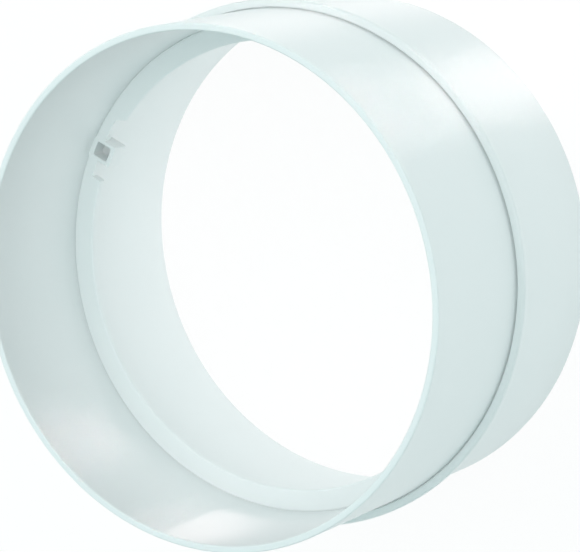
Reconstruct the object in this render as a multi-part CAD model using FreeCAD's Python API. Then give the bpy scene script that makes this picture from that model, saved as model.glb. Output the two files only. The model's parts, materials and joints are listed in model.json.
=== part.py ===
import FreeCAD, Part

import math
import os

# A connector for round air ducts: one moulded plastic sleeve, standing on its lower rim.
# A duct slides over each end until it meets the collar. The rib inside stiffens the middle
# and carries two sockets, opposite each other, that take the hinge of a back-draught damper.
# Millimetres. The duct's axis is Z, the lower rim is at Z = 0 and the sockets lie along X.

# The two spigots
duct_bore = 100.0
duct_clearance = 0.5
upper_spigot_length = 30.0
lower_spigot_length = 28.5
rim_wall = 1.4
rim_chamfer = 0.25
core_draft = 0.25

# The collar that both ducts stop against
collar_height = 1.8
collar_width = 1.5
collar_rounding = 0.5

# The narrow slots along the wall, in the collar's upper face and in the rib's
slot_width = 0.3
slot_floor_width = 0.15
collar_slot_depth = 0.5
rib_slot_depth = 0.25

# The rib inside
rib_from_upper_rim = 28.0
rib_height = 4.3
rib_tip_width = 1.6
rib_root_width = 2.0
rib_chamfer = 0.3

# The dip in the rib on either side of each socket, where the damper's hinge turns
dip_rib_height = 2.3
dip_straight_side = 5.6
dip_flared_side = 7.0
dip_flare = 28.0

# The socket in the rib's upper face, and the walls of the boss around it
socket_from_wall = 0.9
socket_across = 3.3
socket_width = 2.9
socket_depth = 3.2
socket_rounding = 0.4
boss_side_wall = 0.75
boss_inner_wall = 1.0
boss_floor = 0.8
boss_rounding = 0.3

# How far a cut runs past the face that it opens
cut_overrun = 0.5

# Sizes and levels that follow from those above
spigot_radius = duct_bore / 2 - duct_clearance
rim_radius = spigot_radius - rim_wall
collar_radius = spigot_radius + collar_height
collar_bottom = lower_spigot_length
collar_top = collar_bottom + collar_width
sleeve_height = collar_top + upper_spigot_length
rib_top = sleeve_height - rib_from_upper_rim
rib_bottom = rib_top - rib_root_width
taper = math.tan(math.radians(core_draft))
upper_wall_radius = rim_radius - taper * rib_from_upper_rim
lower_wall_radius = rim_radius - taper * rib_bottom
rib_radius = upper_wall_radius - rib_height
dip_radius = upper_wall_radius - dip_rib_height
socket_inner = upper_wall_radius - socket_from_wall - socket_across


def outline(corners):
    """A closed outline in the XZ plane through (radius, height, rounding) corners."""
    points = [FreeCAD.Vector(radius, 0, height) for radius, height, rounding in corners]
    edges = []
    end_of_last = None
    for i, (radius, height, rounding) in enumerate(corners + corners[:1]):
        here = points[i % len(points)]
        back = (points[i - 1] - here).normalize()
        ahead = (points[(i + 1) % len(points)] - here).normalize()
        half_angle = back.getAngle(ahead) / 2
        reach = rounding / math.tan(half_angle)
        if end_of_last:
            edges.append(Part.LineSegment(end_of_last, here + back * reach))
        end_of_last = here + ahead * reach
        if rounding and i < len(points):
            inward = (back + ahead).normalize()
            middle = here + inward * (rounding / math.sin(half_angle) - rounding)
            edges.append(Part.Arc(here + back * reach, middle, end_of_last))
    return Part.Wire([edge.toShape() for edge in edges])


def slot(wall_radius, level, depth, side):
    """The corners of a slot in a face, from the wall beside it: side 1 lies outside the wall, -1 inside."""
    near = (slot_width - slot_floor_width) / 2
    far = near + slot_floor_width
    return [
        (wall_radius, level, 0),
        (wall_radius + side * near, level - depth, 0),
        (wall_radius + side * far, level - depth, 0),
        (wall_radius + side * slot_width, level, 0),
    ]


def sleeve_wall():
    """The turned form: both spigots, the collar, the rib and their slots in one section."""
    rib_tip_bottom = rib_top - rib_tip_width
    outside = [
        (spigot_radius - rim_chamfer, 0, 0),
        (spigot_radius, rim_chamfer, 0),
        (spigot_radius, collar_bottom, 0),
        (collar_radius, collar_bottom, collar_rounding),
        (collar_radius, collar_top, collar_rounding),
        *reversed(slot(spigot_radius, collar_top, collar_slot_depth, 1)),
        (spigot_radius, sleeve_height - rim_chamfer, 0),
        (spigot_radius - rim_chamfer, sleeve_height, 0),
    ]
    inside = [
        (rim_radius + rim_chamfer, sleeve_height, 0),
        (rim_radius, sleeve_height - rim_chamfer, 0),
        *slot(upper_wall_radius, rib_top, rib_slot_depth, -1),
        (rib_radius + rib_chamfer, rib_top, 0),
        (rib_radius, rib_top - rib_chamfer, 0),
        (rib_radius, rib_tip_bottom + rib_chamfer, 0),
        (rib_radius + rib_chamfer, rib_tip_bottom, 0),
        (lower_wall_radius, rib_bottom, 0),
        (rim_radius, rim_chamfer, 0),
        (rim_radius + rim_chamfer, 0, 0),
    ]
    section = Part.Face(outline(outside + inside))
    return section.revolve(FreeCAD.Vector(0, 0, 0), FreeCAD.Vector(0, 0, 1), 360)


def rib_dip():
    """What is cut from the rib at the socket on +X: straight at one end, flared at the other."""
    inner = rib_radius - rib_height
    outer = upper_wall_radius
    flare = math.tan(math.radians(dip_flare))
    corners = [
        (inner, -dip_straight_side),
        (outer, -dip_straight_side),
        (outer, dip_flared_side - (outer - dip_radius) * flare),
        (inner, dip_flared_side + (dip_radius - inner) * flare),
    ]
    corners.append(corners[0])
    plan = Part.makePolygon([FreeCAD.Vector(x, y, rib_bottom) for x, y in corners])
    block = Part.Face(plan).extrude(FreeCAD.Vector(0, 0, rib_root_width + cut_overrun))
    within = Part.makeCylinder(dip_radius, sleeve_height)
    return block.common(within)


def hinge_boss():
    """The block on +X around a socket, let into the wall and level with the rib's upper face."""
    inner = socket_inner - boss_inner_wall
    outer = spigot_radius - rim_wall / 2
    width = socket_width + 2 * boss_side_wall
    length = socket_depth + boss_floor
    corner = FreeCAD.Vector(inner, -width / 2, rib_top - length)
    block = Part.makeBox(outer - inner, width, length, corner)
    facing_axis = [edge for edge in block.Edges if edge.BoundBox.XMax < inner + boss_rounding]
    return block.makeFillet(boss_rounding, facing_axis)


def hinge_socket():
    """The blind pocket in the boss on +X, open at the top."""
    corner = FreeCAD.Vector(socket_inner, -socket_width / 2, rib_top - socket_depth)
    block = Part.makeBox(socket_across, socket_width, socket_depth + cut_overrun, corner)
    upright = [edge for edge in block.Edges if edge.BoundBox.ZLength > socket_depth]
    return block.makeFillet(socket_rounding, upright)


def both_sides(shape):
    """A shape on +X and its mirror image on -X."""
    return [shape, shape.mirror(FreeCAD.Vector(0, 0, 0), FreeCAD.Vector(1, 0, 0))]


def connector():
    """The whole moulding."""
    body = sleeve_wall().cut(both_sides(rib_dip()))
    body = body.fuse(both_sides(hinge_boss()))
    body = body.cut(both_sides(hinge_socket()))
    return body.removeSplitter().Solids[0]


os.makedirs("parts", exist_ok=True)
connector().exportStep("parts/sleeve.step")
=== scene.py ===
import json
import math

import bmesh
import bpy
from mathutils import Matrix, Quaternion, Vector


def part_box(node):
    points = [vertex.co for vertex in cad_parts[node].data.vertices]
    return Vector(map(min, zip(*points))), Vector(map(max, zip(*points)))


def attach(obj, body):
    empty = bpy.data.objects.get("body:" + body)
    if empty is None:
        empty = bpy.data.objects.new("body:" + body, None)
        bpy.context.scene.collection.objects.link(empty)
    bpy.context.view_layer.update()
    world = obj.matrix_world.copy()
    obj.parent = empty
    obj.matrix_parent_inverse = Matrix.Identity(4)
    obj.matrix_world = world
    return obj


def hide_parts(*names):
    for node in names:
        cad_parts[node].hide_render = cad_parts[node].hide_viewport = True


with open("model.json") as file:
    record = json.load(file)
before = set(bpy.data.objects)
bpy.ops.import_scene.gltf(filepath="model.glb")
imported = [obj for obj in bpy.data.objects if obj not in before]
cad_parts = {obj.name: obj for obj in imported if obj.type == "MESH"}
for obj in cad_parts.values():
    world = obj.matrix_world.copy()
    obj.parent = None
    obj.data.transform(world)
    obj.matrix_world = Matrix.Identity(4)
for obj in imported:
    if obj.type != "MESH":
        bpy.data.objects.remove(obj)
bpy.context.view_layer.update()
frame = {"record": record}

# The sleeve's turned form: two spigots with a stop collar between them and a stiffening rib
# inside. The real one is a single injection moulding in white ABS, so it is one skin, turned
# round the duct's axis, with each edge rounded as polished mould steel leaves it.
mm = 0.001
foot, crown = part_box("sleeve")
mounts = {mount["name"]: mount for mount in frame["record"]["mounts"]}
spigot_radius = mounts["upper_spigot"]["dims"]["r_mm"] * mm
collar_radius = crown.x
collar_bottom = mounts["collar_lower_face"]["pos_m"][2]
collar_top = mounts["collar_upper_face"]["pos_m"][2]
rib_top = mounts["hinge_socket_right"]["pos_m"][2]

rim_wall = 1.4 * mm
rim_rounding = 0.35 * mm
collar_rounding = 0.5 * mm
slot_width = 0.3 * mm
slot_floor_width = 0.15 * mm
collar_slot_depth = 0.5 * mm
rib_slot_depth = 0.25 * mm
lip_rounding = 0.05 * mm
rib_height = 4.3 * mm
rib_width = 1.6 * mm
rib_root_width = 2.0 * mm
rib_rounding = 0.35 * mm
foot_rounding = 0.2 * mm
draft = math.tan(math.radians(0.25))
turning_steps = 360
rounding_segments = 4
round_profile = 0.5

rim_radius = spigot_radius - rim_wall
rib_bottom = rib_top - rib_root_width
upper_wall_radius = rim_radius - draft * (crown.z - rib_top)
lower_wall_radius = rim_radius - draft * (rib_bottom - foot.z)
rib_radius = upper_wall_radius - rib_height
slot_near = (slot_width - slot_floor_width) / 2
slot_far = slot_near + slot_floor_width

section_corners = [
    (spigot_radius, foot.z, rim_rounding),
    (spigot_radius, collar_bottom, 0),
    (collar_radius, collar_bottom, collar_rounding),
    (collar_radius, collar_top, collar_rounding),
    (spigot_radius + slot_width, collar_top, lip_rounding),
    (spigot_radius + slot_far, collar_top - collar_slot_depth, 0),
    (spigot_radius + slot_near, collar_top - collar_slot_depth, 0),
    (spigot_radius, collar_top, 0),
    (spigot_radius, crown.z, rim_rounding),
    (rim_radius, crown.z, rim_rounding),
    (upper_wall_radius, rib_top, 0),
    (upper_wall_radius - slot_near, rib_top - rib_slot_depth, 0),
    (upper_wall_radius - slot_far, rib_top - rib_slot_depth, 0),
    (upper_wall_radius - slot_width, rib_top, lip_rounding),
    (rib_radius, rib_top, rib_rounding),
    (rib_radius, rib_top - rib_width, rib_rounding),
    (lower_wall_radius, rib_bottom, foot_rounding),
    (rim_radius, foot.z, rim_rounding),
]
skin = bmesh.new()
corner_verts = [skin.verts.new((radius, 0, height)) for radius, height, rounding in section_corners]
skin.faces.new(corner_verts)
for wanted in {rounding for radius, height, rounding in section_corners if rounding}:
    alike = [
        vert for vert, (radius, height, rounding) in zip(corner_verts, section_corners)
        if rounding == wanted
    ]
    bmesh.ops.bevel(
        skin, geom=alike, offset=wanted, segments=rounding_segments,
        profile=round_profile, affect="VERTICES", material=-1,
    )
bmesh.ops.delete(skin, geom=skin.faces[:], context="FACES_ONLY")
bmesh.ops.spin(
    skin, geom=skin.verts[:] + skin.edges[:], axis=(0, 0, 1), angle=math.tau,
    steps=turning_steps, use_merge=True,
)
bmesh.ops.recalc_face_normals(skin, faces=skin.faces[:])


def new_object(name, built):
    """A scene object at the origin that takes over a finished bmesh."""
    mesh = bpy.data.meshes.new(name)
    built.to_mesh(mesh)
    built.free()
    made = bpy.data.objects.new(name, mesh)
    bpy.context.scene.collection.objects.link(made)
    return made


sleeve = new_object("moulded_sleeve", skin)

# The dips in the rib beside each hinge socket, where a damper's hinge turns.
# In the mould they are steel that stands in the rib's place, straight at one end and flared at
# the other, so here they are cut from the turned form.
dip_rib_height = 2.3 * mm
dip_straight_side = 5.6 * mm
dip_flared_side = 7.0 * mm
dip_flare = math.tan(math.radians(28.0))
dip_reach = math.radians(14.0)
dip_steps = 48
cut_margin = 1.0 * mm
dip_radius = upper_wall_radius - dip_rib_height

dips = bmesh.new()
bmesh.ops.create_grid(dips, x_segments=1, y_segments=1, size=0.5)
bmesh.ops.rotate(dips, verts=dips.verts[:], matrix=Quaternion((1, 0, 0), math.pi / 2).to_matrix())
dip_across = dip_radius - rib_radius + cut_margin * 2
dip_tall = rib_root_width + cut_margin * 2
bmesh.ops.scale(dips, verts=dips.verts[:], vec=(dip_across, 1, dip_tall))
bmesh.ops.translate(
    dips, verts=dips.verts[:], vec=(dip_radius - dip_across / 2, 0, (rib_top + rib_bottom) / 2),
)
bmesh.ops.rotate(dips, verts=dips.verts[:], matrix=Quaternion((0, 0, 1), -dip_reach).to_matrix())
bmesh.ops.spin(
    dips, geom=dips.faces[:], axis=(0, 0, 1), angle=2 * dip_reach, steps=dip_steps,
)
bmesh.ops.recalc_face_normals(dips, faces=dips.faces[:])
for point, outward in (
    ((0, -dip_straight_side, 0), (0, -1, 0)),
    ((dip_radius, dip_flared_side, 0), (dip_flare, 1, 0)),
):
    bmesh.ops.bisect_plane(
        dips, geom=dips.verts[:] + dips.edges[:] + dips.faces[:],
        plane_co=point, plane_no=outward, clear_outer=True,
    )
    open_edges = [edge for edge in dips.edges if edge.is_boundary]
    bmesh.ops.holes_fill(dips, edges=open_edges)


def on_both_sides(built):
    """Adds a bmesh's mirror image across the duct's axis, unmerged, with all faces outwards."""
    whole = built.verts[:] + built.edges[:] + built.faces[:]
    bmesh.ops.mirror(built, geom=whole, axis="X", merge_dist=-1)
    bmesh.ops.recalc_face_normals(built, faces=built.faces[:])


def worked_into_sleeve(name, built, operation):
    """Cuts a bmesh from the sleeve's mesh, or joins it on, for good."""
    tool = new_object(name, built)
    modifier = sleeve.modifiers.new(name, "BOOLEAN")
    modifier.object = tool
    modifier.operation = operation
    modifier.solver = "EXACT"
    worked = sleeve.evaluated_get(bpy.context.evaluated_depsgraph_get())
    mesh = bpy.data.meshes.new_from_object(worked)
    sleeve.modifiers.clear()
    sleeve.data = mesh
    bpy.data.objects.remove(tool)


on_both_sides(dips)
worked_into_sleeve("rib_dips", dips, "DIFFERENCE")

# The hinge bosses: two small blocks, opposite each other, moulded on the wall and level with
# the rib. Each holds a blind socket, open at the top with a slight lead-in, for a damper's peg.
socket_middle = mounts["hinge_socket_right"]["pos_m"][0]
socket_across = 3.3 * mm
socket_width = 2.9 * mm
socket_depth = 3.2 * mm
socket_rounding = 0.4 * mm
socket_lead_in = 0.15 * mm
boss_inner_wall = 1.0 * mm
boss_side_wall = 0.75 * mm
boss_floor = 0.8 * mm
boss_rounding = 0.3 * mm

boss_inner = socket_middle - socket_across / 2 - boss_inner_wall
boss_outer = spigot_radius - rim_wall / 2
boss_width = socket_width + 2 * boss_side_wall
boss_tall = socket_depth + boss_floor
bosses = bmesh.new()
bmesh.ops.create_cube(bosses, size=1)
bmesh.ops.scale(bosses, verts=bosses.verts[:], vec=(boss_outer - boss_inner, boss_width, boss_tall))
bmesh.ops.translate(
    bosses, verts=bosses.verts[:], vec=((boss_outer + boss_inner) / 2, 0, rib_top - boss_tall / 2),
)
free_edges = [
    edge for edge in bosses.edges
    if min(vert.co.x for vert in edge.verts) < (boss_inner + boss_outer) / 2
]
bmesh.ops.bevel(
    bosses, geom=free_edges, offset=boss_rounding, segments=rounding_segments,
    profile=round_profile, affect="EDGES", material=-1,
)
on_both_sides(bosses)
worked_into_sleeve("hinge_bosses", bosses, "UNION")

sockets = bmesh.new()
bmesh.ops.create_cube(sockets, size=1)
socket_straight = socket_depth - socket_lead_in
bmesh.ops.scale(sockets, verts=sockets.verts[:], vec=(socket_across, socket_width, socket_straight))
bmesh.ops.translate(
    sockets, verts=sockets.verts[:],
    vec=(socket_middle, 0, rib_top - socket_lead_in - socket_straight / 2),
)
upright_edges = [
    edge for edge in sockets.edges
    if abs(edge.verts[0].co.z - edge.verts[1].co.z) > socket_depth / 2
]
bmesh.ops.bevel(
    sockets, geom=upright_edges, offset=socket_rounding, segments=rounding_segments,
    profile=round_profile, affect="EDGES", material=-1,
)
mouth = max(sockets.faces, key=lambda face: face.calc_center_median().z)
lead_in = bmesh.ops.extrude_discrete_faces(sockets, faces=[mouth])["faces"][0].verts[:]
lead_in_reach = 2 * socket_lead_in
bmesh.ops.translate(sockets, verts=lead_in, vec=(0, 0, lead_in_reach))
bmesh.ops.scale(
    sockets, verts=lead_in, space=Matrix.Translation((-socket_middle, 0, 0)),
    vec=(1 + 2 * lead_in_reach / socket_across, 1 + 2 * lead_in_reach / socket_width, 1),
)
on_both_sides(sockets)
worked_into_sleeve("hinge_sockets", sockets, "DIFFERENCE")

# The finish of the whole moulding: white ABS from a smooth, stoned mould. To the eye it is a
# cool, bright white with a satin gloss that varies a little where the melt cooled unevenly, the
# faintest clouding of the pigment, and a very fine orange peel.
smooth_below = math.radians(35.0)
sleeve.data.shade_smooth()
sleeve.data.set_sharp_from_angle(angle=smooth_below)
sleeve.modifiers.new("even_shading", "WEIGHTED_NORMAL").keep_sharp = True


def linear(hex_colour):
    """The linear RGBA, as shaders take it, of an sRGB hex colour."""
    parts = [int(hex_colour[i:i + 2], 16) / 255 for i in (1, 3, 5)]
    return [
        part / 12.92 if part <= 0.04045 else ((part + 0.055) / 1.055) ** 2.4 for part in parts
    ] + [1]


def add_node(tree, kind, settings, inputs):
    """Adds a node with its settings, and gives each input a value or another node's output."""
    made = tree.nodes.new(kind)
    for name, value in settings.items():
        setattr(made, name, value)
    for name, value in inputs.items():
        if isinstance(value, bpy.types.NodeSocket):
            tree.links.new(value, made.inputs[name])
        else:
            made.inputs[name].default_value = value
    return made


def new_tree(name):
    """A material and its empty node tree."""
    material = bpy.data.materials.new(name)
    material.use_nodes = True
    material.node_tree.nodes.clear()
    return material, material.node_tree


pigment_light = linear("#EFF0F0")
pigment_deep = linear("#ECEEEE")
pigment_cloud = 22.0 * mm
pigment_cloud_detail = 3.0
gloss_cloud = 9.0 * mm
gloss_cloud_low = 0.3
gloss_cloud_high = 0.7
gloss_roughness = 0.40
dull_roughness = 0.45
orange_peel = 1.6 * mm
orange_peel_depth = 0.001 * mm
abs_ior = 1.53

abs_moulded, tree = new_tree("abs_white_satin_moulding")
place = add_node(tree, "ShaderNodeTexCoord", {}, {}).outputs["Object"]
cloud = add_node(tree, "ShaderNodeTexNoise", {}, {
    "Vector": place, "Scale": 1 / pigment_cloud, "Detail": pigment_cloud_detail,
})
pigment = add_node(tree, "ShaderNodeMix", {"data_type": "RGBA"}, {
    0: cloud.outputs["Fac"], 6: pigment_deep, 7: pigment_light,
})
cooling = add_node(tree, "ShaderNodeTexNoise", {}, {"Vector": place, "Scale": 1 / gloss_cloud})
gloss = add_node(tree, "ShaderNodeMapRange", {}, {
    "Value": cooling.outputs["Fac"], "From Min": gloss_cloud_low, "From Max": gloss_cloud_high,
    "To Min": gloss_roughness, "To Max": dull_roughness,
})
peel = add_node(tree, "ShaderNodeTexNoise", {}, {"Vector": place, "Scale": 1 / orange_peel})
surface_bump = add_node(tree, "ShaderNodeBump", {}, {
    "Height": peel.outputs["Fac"], "Distance": orange_peel_depth,
})
plastic = add_node(tree, "ShaderNodeBsdfPrincipled", {}, {
    "Base Color": pigment.outputs[2], "Roughness": gloss.outputs["Result"], "IOR": abs_ior,
    "Normal": surface_bump.outputs["Normal"],
})
add_node(tree, "ShaderNodeOutputMaterial", {}, {"Surface": plastic.outputs["BSDF"]})
sleeve.data.materials.clear()
sleeve.data.materials.append(abs_moulded)
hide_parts("sleeve")
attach(sleeve, "root")

# The floor: a sheet of white paper on a light panel, far wider than the view.
# It shows as white with a faint part of the sleeve's shadow, and lights the sleeve from below.
floor_half_width = 3.0
paper_colour = linear("#F4F4F4")
shadow_share = 0.12
panel_glow = 0.39
panel_seen = 0.9

paper = bmesh.new()
bmesh.ops.create_grid(paper, x_segments=1, y_segments=1, size=floor_half_width)
bmesh.ops.translate(paper, verts=paper.verts[:], vec=(0, 0, foot.z))
floor = new_object("paper_floor", paper)


def seen_directly(tree):
    """1 for rays from the camera and for those that show in gloss or glass, and 0 for the rest."""
    ray = add_node(tree, "ShaderNodeLightPath", {}, {})
    seen = ray.outputs["Is Camera Ray"]
    for kind in ("Is Glossy Ray", "Is Transmission Ray"):
        seen = add_node(tree, "ShaderNodeMath", {"operation": "MAXIMUM"}, {
            0: seen, 1: ray.outputs[kind],
        }).outputs["Value"]
    return seen


lit_paper, tree = new_tree("white_paper_on_light_panel")
seen = seen_directly(tree)
paper_share = add_node(tree, "ShaderNodeMapRange", {}, {
    "Value": seen, "To Min": 1.0, "To Max": shadow_share,
})
shade = add_node(tree, "ShaderNodeVectorMath", {"operation": "SCALE"}, {
    0: paper_colour[:3], "Scale": paper_share.outputs["Result"],
})
glow = add_node(tree, "ShaderNodeMapRange", {}, {
    "Value": seen, "To Min": panel_glow, "To Max": panel_seen,
})
matt = add_node(tree, "ShaderNodeBsdfDiffuse", {}, {"Color": shade.outputs["Vector"]})
panel = add_node(tree, "ShaderNodeEmission", {}, {"Strength": glow.outputs["Result"]})
sheet = add_node(tree, "ShaderNodeAddShader", {}, {
    0: matt.outputs["BSDF"], 1: panel.outputs["Emission"],
})
add_node(tree, "ShaderNodeOutputMaterial", {}, {"Surface": sheet.outputs["Shader"]})
floor.data.materials.append(lit_paper)

# The studio: a room with a pale, cool ceiling, four large soft boxes, and four narrow, warmer
# strip boxes with grids that draw bright lines down the walls. A lamp's place is its azimuth and
# elevation, in degrees, and how far it is from the point on the duct's axis that it aims at.
ceiling_colour = linear("#B9DDDD")
ceiling_edge = 0.2
ceiling_full = 0.6
middle = crown.z / 2
soft_box = {"size": (0.6, 0.6), "spread": 180.0, "colour": linear("#FFF4F4"), "aim": middle}
strip_box = {
    "size": (14.0 * mm, 120.0 * mm), "spread": 3.0, "colour": linear("#FFE4E4"), "aim": middle,
}
lamps = {
    "near_soft_box": {**soft_box, "place": (50, 50, 0.9), "watts": 1.66},
    "side_soft_box": {**soft_box, "place": (145, 50, 0.9), "watts": 1.71},
    "far_soft_box": {**soft_box, "place": (187, 28, 0.9), "watts": 0.96},
    "top_soft_box": {**soft_box, "place": (0, 88, 0.9), "watts": 0.95},
    "near_strip_box": {**strip_box, "place": (71, 12, 0.35), "watts": 0.00092},
    "side_strip_box": {**strip_box, "place": (106, 12, 0.35), "watts": 0.001},
    "low_strip_box": {
        **strip_box, "place": (71, 12, 0.35), "watts": 0.00036,
        "size": (14.0 * mm, 50.0 * mm), "aim": 2.0 * mm,
    },
    "high_strip_box": {
        **strip_box, "place": (111, 12, 0.35), "watts": 0.0002,
        "size": (14.0 * mm, 20.0 * mm), "aim": 62.0 * mm,
    },
}


def from_polar(azimuth, elevation):
    """The unit vector at an azimuth from +X towards +Y and an elevation, in degrees."""
    turn = Quaternion((0, 0, 1), math.radians(azimuth))
    lift = Quaternion((0, 1, 0), -math.radians(elevation))
    return turn @ lift @ Vector((1, 0, 0))


for name, lamp in lamps.items():
    azimuth, elevation, away = lamp["place"]
    light = bpy.data.lights.new(name, "AREA")
    light.shape = "RECTANGLE"
    light.size, light.size_y = lamp["size"]
    light.spread = math.radians(lamp["spread"])
    light.energy = lamp["watts"]
    light.color = lamp["colour"][:3]
    holder = bpy.data.objects.new(name, light)
    direction = from_polar(azimuth, elevation)
    holder.location = Vector((0, 0, lamp["aim"])) + direction * away
    holder.rotation_mode = "QUATERNION"
    holder.rotation_quaternion = direction.to_track_quat("Z", "Y")
    holder.visible_camera = False
    bpy.context.scene.collection.objects.link(holder)

room = bpy.data.worlds.new("room_with_pale_ceiling")
room.use_nodes = True
tree = room.node_tree
tree.nodes.clear()
white_backdrop = linear("#FFFFFF")
sky = add_node(tree, "ShaderNodeTexCoord", {}, {}).outputs["Object"]
height = add_node(tree, "ShaderNodeSeparateXYZ", {}, {"Vector": sky})
overhead = add_node(tree, "ShaderNodeMapRange", {}, {
    "Value": height.outputs["Z"], "From Min": ceiling_edge, "From Max": ceiling_full,
})
ceiling = add_node(tree, "ShaderNodeVectorMath", {"operation": "SCALE"}, {
    0: ceiling_colour[:3], "Scale": overhead.outputs["Result"],
})
shown = add_node(tree, "ShaderNodeMix", {"data_type": "RGBA"}, {
    0: seen_directly(tree), 6: ceiling.outputs["Vector"], 7: white_backdrop,
})
backdrop = add_node(tree, "ShaderNodeBackground", {}, {"Color": shown.outputs[2]})
add_node(tree, "ShaderNodeOutputWorld", {}, {"Surface": backdrop.outputs["Background"]})
bpy.context.scene.world = room
bpy.context.scene.view_settings.view_transform = "Standard"

# The camera: a long lens that looks down into the upper spigot, turned on its side. Its place and
# its lens come from a fit to the edges of the rims, the collar and the rib in the photograph.
camera_azimuth = 45.277
camera_elevation = 57.371
camera_roll = -107.275
camera_aim = Vector((11.218, 8.274, 51.182)) * mm
camera_away = 573.95 * mm
sensor_width = 36.0
focal_length = 193.557

lens = bpy.data.cameras.new("long_lens")
lens.sensor_width = sensor_width
lens.lens = focal_length
camera = bpy.data.objects.new("camera", lens)
backwards = from_polar(camera_azimuth, camera_elevation)
camera.location = camera_aim + backwards * camera_away
camera.rotation_mode = "QUATERNION"
roll = Quaternion((0, 0, 1), math.radians(camera_roll))
camera.rotation_quaternion = backwards.to_track_quat("Z", "Y") @ roll
bpy.context.scene.collection.objects.link(camera)
bpy.context.scene.camera = camera
